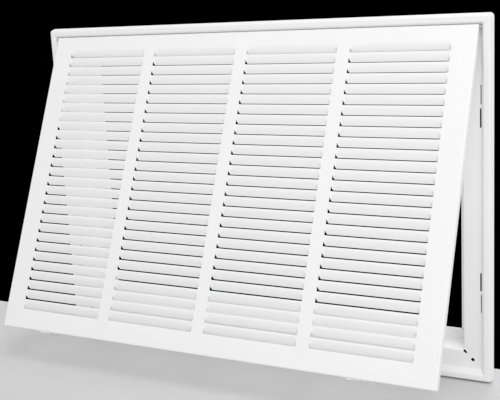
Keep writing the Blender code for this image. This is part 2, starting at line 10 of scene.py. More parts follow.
import bmesh
import bpy
import numpy as np
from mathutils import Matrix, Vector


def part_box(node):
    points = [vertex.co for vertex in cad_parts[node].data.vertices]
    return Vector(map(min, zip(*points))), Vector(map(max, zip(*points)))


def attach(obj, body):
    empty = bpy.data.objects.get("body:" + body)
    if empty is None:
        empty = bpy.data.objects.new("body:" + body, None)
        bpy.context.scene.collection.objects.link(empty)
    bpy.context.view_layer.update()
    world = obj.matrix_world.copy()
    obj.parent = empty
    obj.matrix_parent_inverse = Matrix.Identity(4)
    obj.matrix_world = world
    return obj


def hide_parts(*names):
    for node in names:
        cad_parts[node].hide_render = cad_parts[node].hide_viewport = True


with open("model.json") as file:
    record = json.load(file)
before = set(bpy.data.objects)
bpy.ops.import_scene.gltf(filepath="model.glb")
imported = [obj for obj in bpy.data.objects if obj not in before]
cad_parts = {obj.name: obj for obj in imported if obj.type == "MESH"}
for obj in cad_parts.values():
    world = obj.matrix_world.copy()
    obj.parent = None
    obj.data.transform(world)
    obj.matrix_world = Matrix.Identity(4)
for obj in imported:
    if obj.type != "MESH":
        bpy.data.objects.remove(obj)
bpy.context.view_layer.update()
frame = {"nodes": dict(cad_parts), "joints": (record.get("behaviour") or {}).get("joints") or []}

bl_info = {
    "name": "Return Air Filter Grille",
    "version": (1, 0, 0),
    "blender": (4, 5, 0),
    "location": "3D View > Sidebar > Grille",
    "description": "Builds the sheet metal, finishes and stage of a louvred filter grille",
    "category": "Mesh",
}

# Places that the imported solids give.
FRAME_LOW, FRAME_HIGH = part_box("outer_frame")
FRAME_WIDTH = FRAME_HIGH.x - FRAME_LOW.x
FRAME_HEIGHT = FRAME_HIGH.z - FRAME_LOW.z
FRAME_MIDDLE_Z = (FRAME_HIGH.z + FRAME_LOW.z) / 2
RIM_HEIGHT = -FRAME_LOW.y
WELL_DEPTH = FRAME_HIGH.y
DOOR_LOW, DOOR_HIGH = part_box("door_panel")
DOOR_WIDTH = DOOR_HIGH.x - DOOR_LOW.x
DOOR_HINGE = next(joint for joint in frame["joints"] if joint["name"] == "door_hinge")
HINGE_PLACE = np.array(DOOR_HINGE["pos_m"])
OPEN_ANGLE = -math.radians(DOOR_HINGE["range_deg"][0])
HINGE_BEHIND_FACE = RIM_HEIGHT + HINGE_PLACE[1]

# Directions. Corners run anticlockwise as seen from the room, from the lower left.
CORNER_SIGNS = ((-1, -1), (1, -1), (1, 1), (-1, 1))
ALONG_X = (0.0, math.pi / 2, 0.0)  # turns a rod from Z to X
ALONG_Y = (math.pi / 2, 0.0, 0.0)  # turns a rod from Z to Y

# How fine the meshes are.
ROD_SIDES = 40  # sides of a round cutter
CORNER_STEPS = 10  # steps round a corner of the frame
BEND_STEPS = 8  # steps round a bend of a sheet
CREST_LINES = 5  # lines across a blade from its upper edge to its crest
SLOPE_LINES = 6  # lines across it from the crest to the notches
NOTCH_LINES = 6  # lines across it from there to its lower edge
MIDDLE_LINES = (0.25, 0.5, 0.75)  # lines down a column, as shares of its width
END_LINES = (0.0, 0.06, 0.25, 0.5, 0.75, 1.0)  # lines at a blade's end, shares of its blend
SUPPORT = 0.0004  # from a bend to the line that keeps the face beside it flat
SHARP_DEGREES = 32  # an edge that turns further than this is shaded sharp
FACE_WEIGHT = 100  # how much more a large face counts in the shading at a bend

# Shapes that stay as they are when the sizes change.
RIM_BENDS = 3  # bends between the frame's outer edge and its flange
BITE_DEGREES = (0, 100, 170, 270)  # a corner bite's start, its outer arc's two ends, its end
BLADE_POWER = 1.6  # how a blade's slope steepens on the way down
NOTCH_POWER = 0.8  # how a notch widens on the way down
CUTTER_REACH = 4  # length of a cutter in sheet thicknesses

# Finishes. Scales are for patterns in metres.
COLOUR_DRIFT_SCALE = 7.0
COLOUR_DRIFT = 0.975  # brightness where the coat drifts darkest
GLOSS_CLOUD_SCALE = 90.0
GLOSS_DRIFT = 0.05  # how far the coat's roughness strays either way
COAT_IOR = 1.5
PLATE_CLOUD_SCALE = 1500.0
PLATE_ROUGHNESS = (0.22, 0.42)  # least and most
FLOOR_ROUGHNESS = 0.7

# The stage. The camera stands in the room, right of the grille and a little above its top.
CAMERA_PLACE = (0.63384, -1.16577, 0.47874)
CAMERA_TURN_DEGREES = (77.993, 2.966, 28.258)
SENSOR_WIDTH = 36.0  # millimetres
KEY_PLACE = (0.80, -1.10, 1.80)
KEY_AIM = (0.10, -0.05, 0.25)
KEY_SIZE = 0.9
LOW_PLACE = (1.10, -1.00, 0.15)
LOW_AIM = (0.20, 0.0, 0.12)
LOW_SIZE = 0.6
BACK_PLACE = (0.15, 1.00, 0.60)
BACK_AIM = (0.0, 0.0, 0.15)
BACK_SIZE = 0.8
FLOOR_FRONT = -1.8
FLOOR_BACK = 0.045
FLOOR_HALF_WIDTH = 1.6


def length(name, default, description):
    """A size in metres that a user may change."""
    return bpy.props.FloatProperty(
        name=name,
        default=default,
        description=description,
        min=0.0,
        precision=5,
        unit="LENGTH",
    )


def colour(name, default, description):
    """A paint or light colour."""
    return bpy.props.FloatVectorProperty(
        name=name,
        default=default,
        description=description,
        subtype="COLOR",
        min=0.0,
        max=1.0,
        size=3,
    )


def amount(name, default, description, most=10.0):
    """A plain number."""
    return bpy.props.FloatProperty(
        name=name, default=default, description=description, min=0.0, max=most
    )


class GrilleFrameSizes(bpy.types.PropertyGroup):
    """Wall frame, from its outer edge inwards."""

    sheet: length("Sheet", 0.0009, "Thickness of the frame's steel")
    edge_lift: length("Edge lift", 0.0003, "Gap between the rim's outer edge and the wall")
    outer_run: length("Outer run", 0.0026, "Width of the rim's outer slope")
    crest_edge: length("Crest edge", 0.0110, "Inner edge of the rim's flat top")
    ramp_run: length("Ramp run", 0.0044, "Width of the slope down to the flange")
    flange: length("Flange", 0.0239, "Width of the flat mounting flange")
    lip: length("Lip", 0.0141, "Width of the lip at the back of the well")
    corner_radius: length("Corner radius", 0.0050, "Radius of the frame's outer corners")
    sharp_radius: length("Inner corner radius", 0.0010, "Least radius of a folded corner")
    outer_bend: length("Outer bend", 0.0025, "Bend radius at the rim's outer shoulder")
    crest_bend: length("Crest bend", 0.0035, "Bend radius at the rim's inner shoulder")
    fold: length("Fold", 0.0012, "Bend radius of the plain folds")
    well_bend: length("Well bend", 0.0020, "Bend radius where the well starts")
    wall_gap: length("Wall gap", 0.0006, "Gap between two well walls at a corner")
    screw_hole: length("Screw hole", 0.0048, "Diameter of the four screw holes")
    slot_length: length("Slot length", 0.0242, "Length of the slots at the foot of the rim")
    slot_wide: length("Wide slot", 0.0022, "Width of the slot nearer the middle")
    slot_narrow: length("Narrow slot", 0.0013, "Width of the slot nearer the end")
    wide_from_end: length(
        "Wide slot place", 0.13095, "From the frame's end to a wide slot's middle"
    )
    narrow_from_end: length(
        "Narrow slot place", 0.10185, "From the frame's end to a narrow slot's middle"
    )
    slot_rise: length("Slot rise", 0.0030, "How far the slot pattern sits above the middle")
    latch_slot_height: length("Latch slot", 0.0014, "Height of a latch slot")
    latch_slot_rise: length(
        "Latch slot level", 0.0191, "From the frame's bottom to a latch slot's middle"
    )
    latch_slot_start: length(
        "Latch slot start", 0.0180, "From a latch's left end to its slot"
    )
    latch_slot_spare: length(
        "Latch slot spare", 0.0010, "How far a slot runs past its latch"
    )
    pin_hole: length("Pin hole", 0.0020, "Diameter of the hinge pin holes")


class GrilleDoorSizes(bpy.types.PropertyGroup):
    """Door sheet and its louvres. Distances down the door start at the hinge axis."""

    sheet: length("Sheet", 0.0008, "Thickness of the door's steel")
    above_axis: length("Above axis", 0.0028, "From the hinge axis up to the door's top edge")
    below_axis: length(
        "Below axis", 0.4356, "From the hinge axis down to the door's bottom edge"
    )
    return_depth: length("Return", 0.0086, "Depth of the folded sides and bottom")
    top_return: length("Top return", 0.0046, "Depth of the folded top edge")
    bend: length("Bend", 0.0015, "Bend radius of the door's edges")
    ear_cut: length("Ear cut", 0.0031, "Cut at the back of the side returns' top corners")
    columns: bpy.props.IntProperty(
        name="Columns", default=4, min=1, description="Columns of louvres"
    )
    rows: bpy.props.IntProperty(
        name="Rows", default=28, min=1, description="Louvres in a column"
    )
    column_gap: length("Column gap", 0.0175, "Plain strip between two columns")
    side_margin: length("Side margin", 0.0307, "Plain strip beside the outer columns")
    pitch: length("Pitch", 0.0140, "From one louvre to the next")
    first_slit: length("First slit", 0.0291, "From the hinge axis to the first slit's middle")
    slit: length("Slit", 0.0019, "Height of a slit")
    blade_depth: length("Blade depth", 0.0042, "How far a blade's lower edge is set back")
    top_depth: length("Top depth", 0.0012, "How far a blade's upper edge is set back")
    crest: length("Crest", 0.0016, "From a blade's upper edge to its crest")
    end_blend: length(
        "End blend", 0.0040, "Length over which a blade's end meets the face"
    )
    end_shear: length("End shear", 0.0015, "Length of that blend at a blade's lower edge")
    notch_height: length(
        "Notch height", 0.0050, "Height of the open notch beside a blade's end"
    )
    notch_width: length("Notch width", 0.0020, "Width of that notch at the slit")
    pin_hole: length("Pin hole", 0.0020, "Diameter of the hinge pin holes")
    rivet_hole: length(
        "Rivet hole", 0.0034, "Diameter of the rivet holes in the bottom return"
    )


class GrilleFinish(bpy.types.PropertyGroup):
    """Coating and plating."""

    coat: colour("Coat", (0.88, 0.88, 0.88), "Colour of the white powder coat")
    coat_roughness: amount("Coat roughness", 0.42, "Roughness of the powder coat", 1.0)
    peel_size: length("Peel size", 0.0013, "Size of the ripples in the powder coat")
    peel_height: length("Peel height", 0.00001, "Height of the ripples in the powder coat")
    plate: colour("Plate", (0.66, 0.66, 0.64), "Colour of the zinc plate")


class GrilleStageSettings(bpy.types.PropertyGroup):
    """Camera, lamps and floor."""

    lens: amount("Lens", 68.81, "Focal length for a 36 mm sensor", 1000.0)
    key_power: amount("Key power", 12.0, "Power of the key lamp in watts", 1000.0)
    low_power: amount("Low power", 1.2, "Power of the low front lamp in watts", 1000.0)
    back_power: amount(
        "Back power", 3.6, "Power of the lamp behind the wall frame in watts", 1000.0
    )
    fill: amount("Fill", 0.81, "Strength of the even light from all round")
    floor: colour("Floor", (0.6, 0.6, 0.6), "Colour of the floor")


def folded_line(corners, radii, steps):
    """Straight runs between the corners, with an arc of the given radius at each inner one.

    The arc's centre lies on the bisector at radius / sin(half the angle), and its ends lie
    radius / tan(half the angle) from the corner.
    """
    corners = np.asarray(corners, float)
    pieces = [corners[:1]]
    for before, corner, after, radius in zip(corners, corners[1:], corners[2:], radii):
        toward = (before - corner) / np.linalg.norm(before - corner)
        away = (after - corner) / np.linalg.norm(after - corner)
        half_angle = math.acos(float(np.clip(toward @ away, -1, 1))) / 2
        middle = (toward + away) / np.linalg.norm(toward + away)
        centre = corner + middle * radius / math.sin(half_angle)
        start = corner + toward * radius / math.tan(half_angle) - centre
        turn = math.copysign(1.0, start[1] * toward[0] - start[0] * toward[1])
        angle = turn * np.linspace(0, math.pi - 2 * half_angle, steps + 1)
        x = centre[0] + start[0] * np.cos(angle) - start[1] * np.sin(angle)
        y = centre[1] + start[0] * np.sin(angle) + start[1] * np.cos(angle)
        pieces.append(np.column_stack([x, y]))
    pieces.append(corners[-1:])
    return np.concatenate(pieces)


def arc_points(angle, radius):
    """Points on a circle about the origin: radius times cosine, and radius times sine."""
    return radius * np.column_stack([np.cos(angle), np.sin(angle)])


def grid_quads(rows, columns, closed=False):
    """Corner numbers of the quads of a grid of points, counted row by row."""
    across = columns if closed else columns - 1
    row, column = np.meshgrid(np.arange(rows - 1), np.arange(across), indexing="ij")
    following = (column + 1) % columns
    upper, lower = row * columns, (row + 1) * columns
    quads = [upper + column, upper + following, lower + following, lower + column]
    return np.stack(quads, axis=-1)


def new_piece(name, points, faces):
    """A mesh object at the origin, without the points that no face uses."""
    used = np.unique(np.concatenate([np.ravel(face) for face in faces]))
    place = np.full(len(points), -1)
    place[used] = np.arange(len(used))
    polygons = [tuple(int(number) for number in place[np.asarray(face)]) for face in faces]
    mesh = bpy.data.meshes.new(name)
    mesh.from_pydata(points[used].tolist(), [], polygons)
    mesh.validate()
    piece = bpy.data.objects.new(name, mesh)
    bpy.context.scene.collection.objects.link(piece)
    return piece


def add_sheet(piece, thickness):
    """Gives an open surface its thickness, behind the side that its faces point to."""
    solidify = piece.modifiers.new("sheet", "SOLIDIFY")
    solidify.thickness = thickness
    solidify.offset = -1.0
    solidify.use_even_offset = True


def cut_and_settle(piece, cutters):
    """Takes the cutters away from the piece, all at once, and drops them.

    The result of all modifiers becomes the piece's own mesh, shaded smooth between its
    sharp edges.
    """
    group = bpy.data.collections.new(piece.name + " cutters")
    for cutter in cutters:
        group.objects.link(cutter)
    boolean = piece.modifiers.new("cuts", "BOOLEAN")
    boolean.operation = "DIFFERENCE"
    boolean.solver = "MANIFOLD"
    boolean.operand_type = "COLLECTION"
    boolean.collection = group
    bpy.context.view_layer.update()
    graph = bpy.context.evaluated_depsgraph_get()
    mesh = bpy.data.meshes.new_from_object(piece.evaluated_get(graph), depsgraph=graph)
    piece.modifiers.clear()
    piece.data = mesh
    mesh.name = piece.name
    shade_between_sharp_edges(mesh)
    for cutter in cutters:
        bpy.data.objects.remove(cutter, do_unlink=True)
    bpy.data.collections.remove(group)


def shade_between_sharp_edges(mesh):
    """Smooth shading, broken where two faces meet at a sharp edge."""
    mesh.shade_smooth()
    mesh.set_sharp_from_angle(angle=math.radians(SHARP_DEGREES))


def add_face_weighted_normals(piece):
    """Keeps large flat faces flat where they meet a bend."""
    weighted = piece.modifiers.new("normals", "WEIGHTED_NORMAL")
    weighted.keep_sharp = True
    weighted.weight = FACE_WEIGHT


def cutter_from(name, mesh_data):
    """An object outside the scene that holds this mesh, with its faces outwards."""
    mesh = bpy.data.meshes.new(name)
    bmesh.ops.recalc_face_normals(mesh_data, faces=mesh_data.faces)
    mesh_data.to_mesh(mesh)
    mesh_data.free()
    return bpy.data.objects.new(name, mesh)


def box_cutter(name, low, high):
    """A box between its lowest and highest corners."""
    low, high = np.array(low), np.array(high)
    mesh_data = bmesh.new()
    bmesh.ops.create_cube(mesh_data, size=1.0)
    bmesh.ops.scale(mesh_data, vec=high - low, verts=mesh_data.verts)
    bmesh.ops.translate(mesh_data, vec=(low + high) / 2, verts=mesh_data.verts)
    return cutter_from(name, mesh_data)


def rod_cutter(name, centre, turn, radius, reach):
    """A cylinder through centre. Its axis is Z turned by the Euler angles in turn."""
    mesh_data = bmesh.new()
    bmesh.ops.create_cone(
        mesh_data,
        cap_ends=True,
        segments=ROD_SIDES,
        radius1=radius,
        radius2=radius,
        depth=reach,
    )
    rod = cutter_from(name, mesh_data)
    rod.location = centre
    rod.rotation_euler = turn
    return rod


def on_frame(flat, height):
    """Points across and up from the frame's middle, at this height off the wall."""
    return np.column_stack([flat[:, 0], np.full(len(flat), -height), FRAME_MIDDLE_Z + flat[:, 1]])


def frame_ring(inset, height, sizes):
    """A rounded rectangle round the frame at this inset: an arc about each corner's centre."""
    half = np.array([FRAME_WIDTH, FRAME_HEIGHT]) / 2 - inset
    radius = max(sizes.corner_radius - inset, sizes.sharp_radius)
    steps = np.linspace(0, math.pi / 2, CORNER_STEPS + 1)
    points = []
    for quarter, signs in enumerate(CORNER_SIGNS):
        centre = np.array(signs) * (half - radius)
        angle = math.pi + quarter * math.pi / 2 + steps
        points.append(centre + arc_points(angle, radius))
    return on_frame(np.concatenate(points), height)


def relief_ring(inset, height, sizes):
    """The flange's inner edge: straight sides, and at each corner a small round bite outwards.

    A bite starts and ends one radius along the sides, and its outer part is an arc of that
    radius about the corner.
    """
    half = np.array([FRAME_WIDTH, FRAME_HEIGHT]) / 2 - inset
    radius = sizes.well_bend + sizes.wall_gap
    start, arc_start, arc_end, end = BITE_DEGREES
    arc = np.linspace(arc_start, arc_end, CORNER_STEPS - 1)
    degrees = np.concatenate([[start], arc, [end]])
    points = []
    for quarter, signs in enumerate(CORNER_SIGNS):
        angle = np.radians(90 + 90 * quarter + degrees)
        points.append(np.array(signs) * half + arc_points(angle, radius))
    return on_frame(np.concatenate(points), height)


def frame_outline(sizes):
    """The frame's folded profile: inset from its outer edge, and height off the wall."""
    flange_start = sizes.crest_edge + sizes.ramp_run
    well_inset = flange_start + sizes.flange
    lip_height = sizes.sheet - WELL_DEPTH
    corners = [
        (0.0, sizes.edge_lift),
        (sizes.outer_run, RIM_HEIGHT),
        (sizes.crest_edge, RIM_HEIGHT),
        (flange_start, sizes.sheet),
        (well_inset, sizes.sheet),
        (well_inset, lip_height),
        (well_inset + sizes.lip, lip_height),
    ]
    radii = [sizes.outer_bend, sizes.crest_bend, sizes.fold, sizes.well_bend, sizes.fold]
    return folded_line(corners, radii, BEND_STEPS)


def frame_surface(sizes):
    """Points and faces of the frame's front side: a folded profile carried round the frame.

    The rings run from the outer edge to the flange's inner edge. The well's walls and lips
    are four separate flaps, one on each side, whose lips are mitred.
    """
    outline = frame_outline(sizes)
    well_inset = sizes.crest_edge + sizes.ramp_run + sizes.flange
    ring_count = 2 + RIM_BENDS * (BEND_STEPS + 1)
    rings = [frame_ring(inset, height, sizes) for inset, height in outline[: ring_count - 1]]
    rings.append(relief_ring(*outline[ring_count - 1], sizes))
    per_ring = len(rings[0])
    per_corner = CORNER_STEPS + 1
    points = [np.concatenate(rings)]
    faces = list(grid_quads(ring_count - 1, per_ring, closed=True).reshape(-1, 4))
    foot, edge = (ring_count - 2) * per_ring, (ring_count - 1) * per_ring
    flap = outline[ring_count - 1 :]
    directions = (((1, 0), (0, 1)), ((0, 1), (-1, 0)), ((-1, 0), (0, -1)), ((0, -1), (1, 0)))
    count = len(rings) * per_ring
    for corner, (along, inward) in enumerate(directions):
        corner_points = np.arange(per_corner) + corner * per_corner
        faces.append(np.concatenate([foot + corner_points, edge + corner_points[::-1]]))
        last = corner_points[-1]
        following = (last + 1) % per_ring
        faces.append(np.array([foot + last, foot + following, edge + following, edge + last]))
        base = np.stack([rings[-1][last], rings[-1][following]])
        run = (flap[:, 0] - flap[0, 0])[:, None, None]
        drop = (flap[0, 1] - flap[:, 1])[:, None, None]
        mitre = np.maximum(0, flap[:, 0] - well_inset)[:, None, None]
        wall = base[None] + run * np.array([inward[0], 0, inward[1]])
        wall = wall + drop * np.array([0, 1, 0])
        wall = wall + mitre * np.array([along[0], 0, along[1]]) * np.array([[1], [-1]])
        points.append(wall[1:].reshape(-1, 3))
        quads = grid_quads(len(flap), 2).reshape(-1, 4) + count - 2
        quads[0] = [edge + last, edge + following, count + 1, count]
        faces += list(quads)
        count += 2 * (len(flap) - 1)
    return np.concatenate(points), faces


def frame_cutters(sizes):
    """Screw holes, the slots at the rim's foot, latch slots and hinge pin holes."""
    flange_start = sizes.crest_edge + sizes.ramp_run
    middle = flange_start + sizes.flange / 2
    reach = CUTTER_REACH * sizes.sheet
    side_slots = (
        (sizes.slot_wide, sizes.wide_from_end),
        (sizes.slot_narrow, sizes.narrow_from_end),
    )
    cutters = []
    for side, latch in ((-1, "latch_left"), (1, "latch_right")):
        for level in (FRAME_LOW.z + middle, FRAME_HIGH.z - middle):
            centre = (side * (FRAME_WIDTH / 2 - middle), -sizes.sheet / 2, level)
            radius = sizes.screw_hole / 2
            cutters.append(rod_cutter("screw hole", centre, ALONG_Y, radius, reach))
        for width, from_end in side_slots:
            foot = FRAME_WIDTH / 2 - flange_start
            edges = sorted((side * foot, side * (foot - width)))
            for level in (FRAME_LOW.z + from_end, FRAME_HIGH.z - from_end):
                bottom = level + sizes.slot_rise - sizes.slot_length / 2
                low = (edges[0], -reach, bottom)
                high = (edges[1], reach, bottom + sizes.slot_length)
                cutters.append(box_cutter("side slot", low, high))
        latch_low, latch_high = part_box(latch)
        level = FRAME_LOW.z + sizes.latch_slot_rise
        half = sizes.latch_slot_height / 2
        low = (latch_low.x + sizes.latch_slot_start, -reach, level - half)
        high = (latch_high.x + sizes.latch_slot_spare, reach, level + half)
        cutters.append(box_cutter("latch slot", low, high))
        pin = (side * (FRAME_WIDTH / 2 - sizes.crest_edge), HINGE_PLACE[1], HINGE_PLACE[2])
        slope_reach = 2 * sizes.ramp_run
        cutters.append(rod_cutter("pin hole", pin, ALONG_X, sizes.pin_hole / 2, slope_reach))
    return cutters


class GRILLE_OT_wall_frame(bpy.types.Operator):
    """Fold the wall frame: raised rim, flange with its holes, and the filter well"""

    bl_idname = "grille.wall_frame"
    bl_label = "Wall Frame"

    def execute(self, context):
        sizes = context.scene.grille_frame
        piece = new_piece("wall_frame_sheet", *frame_surface(sizes))
        add_sheet(piece, sizes.sheet)
        cut_and_settle(piece, frame_cutters(sizes))
        add_face_weighted_normals(piece)
        dress(piece, coat_material(context, "white powder coat, frame"))
        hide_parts("outer_frame")
        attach(piece, "frame")
        return {"FINISHED"}


def edge_bend(sizes):
    """A door edge's bend, from the folded side to the face: run and depth at each step.

    The run is the radius times one less the cosine of the turn, and the depth is the radius
    times one less its sine.
    """
    turn = np.linspace(0, math.pi / 2, BEND_STEPS + 1)
    return sizes.bend * (1 - np.column_stack([np.cos(turn), np.sin(turn)]))


def blade_profile(fall, sizes):
    """Depth of a blade at this distance below its upper edge.

    Above the crest it is top depth times the square of the share still to go. Below it is
    blade depth times the share gone, raised to a power a little over one.
    """
    reach = sizes.pitch - sizes.slit
    above = np.clip((sizes.crest - fall) / sizes.crest, 0, 1)
    below = np.clip((fall - sizes.crest) / (reach - sizes.crest), 0, 1)
    return sizes.top_depth * above**2 + sizes.blade_depth * below**BLADE_POWER


def door_rows(sizes):
    """Lines across the door, top to bottom.

    Columns of the result: distance down from the axis, depth of an edge bend there, depth
    of a blade there, share of the notch that is passed, whether the gap below is a slit,
    and whether the strip below has notches.
    """
    top, bottom = -sizes.above_axis, sizes.below_axis
    bend = edge_bend(sizes)
    reach = sizes.pitch - sizes.slit
    notch_start = reach - sizes.notch_height
    crest_falls = np.linspace(0, sizes.crest, CREST_LINES)
    slope_falls = np.linspace(sizes.crest, notch_start, SLOPE_LINES)[1:-1]
    notch_falls = np.linspace(notch_start, reach, NOTCH_LINES)
    rows = [(top, sizes.top_return, 0, 0, 0, 0)]
    rows += [(top + run, depth, 0, 0, 0, 0) for run, depth in bend]
    rows.append((top + sizes.bend + SUPPORT, 0, 0, 0, 0, 0))
    for row in range(sizes.rows + 1):
        upper = sizes.first_slit + (row - 1) * sizes.pitch + sizes.slit / 2
        if row == 0:
            rows.append((upper + sizes.crest, 0, 0, 0, 0, 0))
        else:
            rows += [(upper + fall, 0, blade_profile(fall, sizes), 0, 0, 0) for fall in crest_falls]
        if row == sizes.rows:
            break
        rows += [(upper + fall, 0, blade_profile(fall, sizes), 0, 0, 0) for fall in slope_falls]
        for fall in notch_falls:
            passed = (fall - notch_falls[0]) / sizes.notch_height
            is_last = fall == notch_falls[-1]
            depth = blade_profile(fall, sizes)
            rows.append((upper + fall, 0, depth, passed, is_last, not is_last))
    rows.append((bottom - sizes.bend - SUPPORT, 0, 0, 0, 0, 0))
    rows += [(bottom - run, depth, 0, 0, 0, 0) for run, depth in bend[::-1]]
    rows.append((bottom, sizes.return_depth, 0, 0, 0, 0))
    return np.array(rows, float)


def door_columns(sizes):
    """Lines down the door, left to right.

    Columns of the result: place across, depth of an edge bend there, number of its column
    of louvres or 0, share of the end blend or nan, and side of that column (-1, 0 or 1).
    """
    half = DOOR_WIDTH / 2
    edge = [(-half, sizes.return_depth)]
    edge += [(-half + run, depth) for run, depth in edge_bend(sizes)]
    edge.append((-half + sizes.bend + SUPPORT, 0.0))
    gaps = (sizes.columns - 1) * sizes.column_gap
    width = (DOOR_WIDTH - 2 * sizes.side_margin - gaps) / sizes.columns
    lines = [(x, depth, 0, np.nan, 0) for x, depth in edge]
    for index in range(sizes.columns):
        number = index + 1
        left = -half + sizes.side_margin + index * (width + sizes.column_gap)
        right = left + width
        lines += [(left + share * sizes.end_blend, 0, number, share, -1) for share in END_LINES]
        lines += [(left + share * width, 0, number, np.nan, 0) for share in MIDDLE_LINES]
        lines += [
            (right - share * sizes.end_blend, 0, number, share, 1) for share in END_LINES[::-1]
        ]
    lines += [(-x, depth, 0, np.nan, 0) for x, depth in edge[::-1]]
    return np.array(lines, float)


def smooth_share(value):
    """Rises from 0 to 1 with flat ends: three squares less two cubes."""
    value = np.clip(value, 0, 1)
    return value * value * (3 - 2 * value)


def door_surface(sizes):
    """Points and faces of the door's front side: a function of distance across and down.

    The depth is the larger of the two edge bends, plus the blade's depth times an end
    share. That share rises smoothly from a column's edge over the end blend, which grows
    shorter along the notch. Beside a notch the lines at a blade's end are pushed inwards,
    the outermost by the notch's width and the others by less the further in they are.
    Cells in the slits and beside the blades' ends are left out.
    """
    rows, lines = door_rows(sizes), door_columns(sizes)
    down, end_depth, blade, passed, is_slit, is_notch = (row[:, None] for row in rows.T)
    across, side_depth, column, blend_share, side = (line[None] for line in lines.T)
    shares = np.nan_to_num(blend_share, nan=1.0)
    first_share = END_LINES[1]
    notch = sizes.notch_width * passed**NOTCH_POWER
    pushed = np.maximum(0, notch - first_share * sizes.end_blend)
    pushed = pushed * (1 - (shares - first_share) / (1 - first_share))
    pushed = np.where((shares >= first_share) & (side != 0), pushed, 0)
    from_edge = shares * sizes.end_blend + pushed
    blend = sizes.end_blend + (sizes.end_shear - sizes.end_blend) * passed
    in_column = column > 0
    end_share = np.where(in_column, smooth_share(from_edge / blend), 0)
    depth = np.maximum(end_depth, side_depth) + end_share * blade
    x = np.broadcast_to(across - side * pushed, depth.shape)
    fall = np.broadcast_to(down, depth.shape).copy()
    fall[:, [0, -1]] += np.where(down < 0, sizes.ear_cut, 0)
    points = placed_on_door(np.stack([x, depth - HINGE_BEHIND_FACE, -fall], axis=-1))

    row_count, line_count = depth.shape
    row, line = np.meshgrid(np.arange(row_count - 1), np.arange(line_count - 1), indexing="ij")
    bends = BEND_STEPS + 1
    same_column = in_column[0, :-1] & (column[0, :-1] == column[0, 1:])
    at_end = same_column & (np.minimum(shares[0, :-1], shares[0, 1:]) == 0)
    side_return = (line == 0) | (line == line_count - 2)
    side_edge = (line < bends) | (line > line_count - 2 - bends)
    end_return = (row == 0) | (row == row_count - 2)
    low_bend = row > row_count - 2 - bends
    gone = (side_edge & end_return) | (side_return & low_bend)
    gone |= (is_slit[:-1] > 0) & same_column[None]
    gone |= (is_notch[:-1] > 0) & at_end[None]
    return points.reshape(-1, 3), grid_quads(row_count, line_count)[~gone]


def placed_on_door(points):
    """From the closed door's own axes, with the hinge axis at the origin, to the open door."""
    cosine, sine = math.cos(-OPEN_ANGLE), math.sin(-OPEN_ANGLE)
    x, y, z = points[..., 0], points[..., 1], points[..., 2]
    turned = np.stack([x, y * cosine - z * sine, y * sine + z * cosine], axis=-1)
    return turned + HINGE_PLACE


def door_cutters(sizes):
    """Hinge pin holes in the side returns, and rivet holes in the bottom return."""
    cutters = []
    for side in (-1, 1):
        centre = (side * DOOR_WIDTH / 2, HINGE_PLACE[1], HINGE_PLACE[2])
        reach = CUTTER_REACH * sizes.sheet
        cutters.append(rod_cutter("pin hole", centre, ALONG_X, sizes.pin_hole / 2, reach))
    square_to_door = (-OPEN_ANGLE, 0.0, 0.0)
    for name in sorted(frame["nodes"]):
        if name.startswith("latch_rivet"):
            low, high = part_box(name)
            centre, reach = (low + high) / 2, 2 * (high.z - low.z)
            radius = sizes.rivet_hole / 2
            cutters.append(rod_cutter("rivet hole", centre, square_to_door, radius, reach))
    return cutters


class GRILLE_OT_louvred_door(bpy.types.Operator):
    """Form the door from one sheet, with its louvres and folded edges"""

    bl_idname = "grille.louvred_door"
    bl_label = "Louvred Door"

    def execute(self, context):
        sizes = context.scene.grille_door
        points, faces = door_surface(sizes)
        piece = new_piece("louvred_door_sheet", points, faces[:, ::-1])
        add_sheet(piece, sizes.sheet)
        cut_and_settle(piece, door_cutters(sizes))
        dress(piece, coat_material(context, "white powder coat, door"))
        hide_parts("door_panel")
        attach(piece, "door")
        return {"FINISHED"}


def dress(piece, material):
    """Gives the whole piece one material."""
    piece.data.materials.clear()
    piece.data.materials.append(material)


def node(tree, kind, x, y, **settings):
    """A new node at this place in the node editor, with these settings."""
    made = tree.nodes.new(kind)
    made.location = (x, y)
    for name, value in settings.items():
        setattr(made, name, value)
    return made


def noise(tree, x, y, detail, scale=None):
    """A noise texture. Its scale may be linked instead."""
    texture = node(tree, "ShaderNodeTexNoise", x, y)
    texture.inputs["Detail"].default_value = detail
    if scale is not None:
        texture.inputs["Scale"].default_value = scale
    return texture


def spread(tree, x, y, least, most):
    """A node that spreads a noise of 0 to 1 between two values."""
    spreader = node(tree, "ShaderNodeMapRange", x, y)
    spreader.inputs["To Min"].default_value = least
    spreader.inputs["To Max"].default_value = most
    return spreader


def socket(group, name, direction, kind, default=None):
    """A named input or output of a node group."""
    made = group.interface.new_socket(name=name, in_out=direction, socket_type=kind)
    if default is not None:
        made.default_value = default


